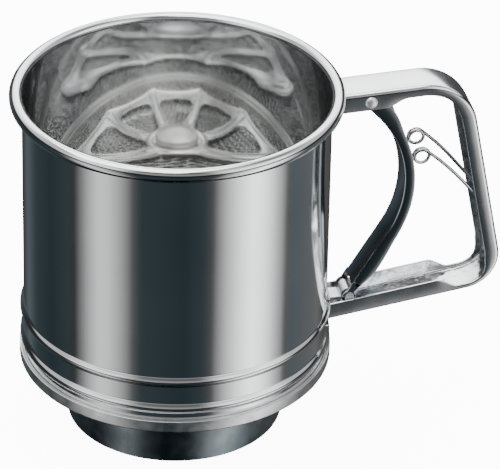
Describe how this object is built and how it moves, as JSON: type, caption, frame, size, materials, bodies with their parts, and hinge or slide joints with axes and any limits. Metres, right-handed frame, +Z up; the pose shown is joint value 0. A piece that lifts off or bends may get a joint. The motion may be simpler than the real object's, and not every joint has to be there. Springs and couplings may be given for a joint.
{
  "type": "flour sifter",
  "caption": "One-hand flour sifter: a steel cup with a wire screen, a crank-driven agitator wheel and a sprung trigger in its channel handle.",
  "frame": {"origin": "on the cup's axis at the underside of the foot, where it stands", "axes": "+Z up along the cup's axis, +X along the handle, +Y across the handle on the crank pin's side"},
  "size_m": [0.1623, 0.108, 0.12],
  "materials": {
    "cup_steel": "mirror-polished stainless sheet",
    "base_steel": "polished foot with a satin seam",
    "screen_steel": "satin stainless sheet",
    "wire_cloth": "woven stainless wire cloth",
    "mechanism_steel": "plain stainless sheet and bar",
    "bush_brass": "turned brass",
    "handle_steel": "bright polished stainless channel",
    "trigger_steel": "bright polished stainless channel",
    "fastener_steel": "bright rivet heads",
    "spring_wire": "drawn spring wire",
    "agitator_steel": "pressed bright stainless sheet"
  },
  "bodies": {
    "root": {"body_shell": "cup_steel", "base_funnel": "base_steel", "screen_frame": "screen_steel", "screen_clamp_ring": "screen_steel", "screen_mesh": "wire_cloth", "screen_eyelet": "screen_steel", "eyelet_washer": "screen_steel", "bridge_bar": "mechanism_steel", "shaft_bush": "bush_brass", "handle": "handle_steel", "trigger_pin": "fastener_steel", "trigger_spring": "spring_wire"},
    "trigger": {"trigger": "trigger_steel", "link_pin": "fastener_steel"},
    "pull_rod": {"pull_rod": "mechanism_steel"},
    "agitator": {"agitator_wheel": "agitator_steel", "hub_cap": "agitator_steel", "agitator_shaft": "mechanism_steel", "crank_lever": "mechanism_steel", "crank_pin": "fastener_steel", "thrust_washer": "bush_brass", "retaining_clip": "spring_wire"}
  },
  "joints": [
    {"name": "trigger_pivot", "type": "hinge", "parent": "root", "child": "trigger", "pos_m": [0.0625, 0, 0.1123], "axis": [0, -1, 0], "range_deg": [0, 9.2], "stiffness_Nm_per_rad": 1, "springref_deg": -5.73, "deforming": ["trigger_spring"]},
    {"name": "rod_slide", "type": "slide", "parent": "root", "child": "pull_rod", "axis": [1, 0, 0], "range_m": [0, 0.012]},
    {"name": "agitator_spin", "type": "hinge", "parent": "root", "child": "agitator", "pos_m": [0, 0, 0.0449], "axis": [0, 0, -1], "range_deg": [0, 39]}
  ],
  "couplings": [
    {"joint": "rod_slide", "follows": "trigger_pivot", "m_per_rad": 0.07444},
    {"joint": "agitator_spin", "follows": "trigger_pivot", "ratio": 4.2163}
  ]
}
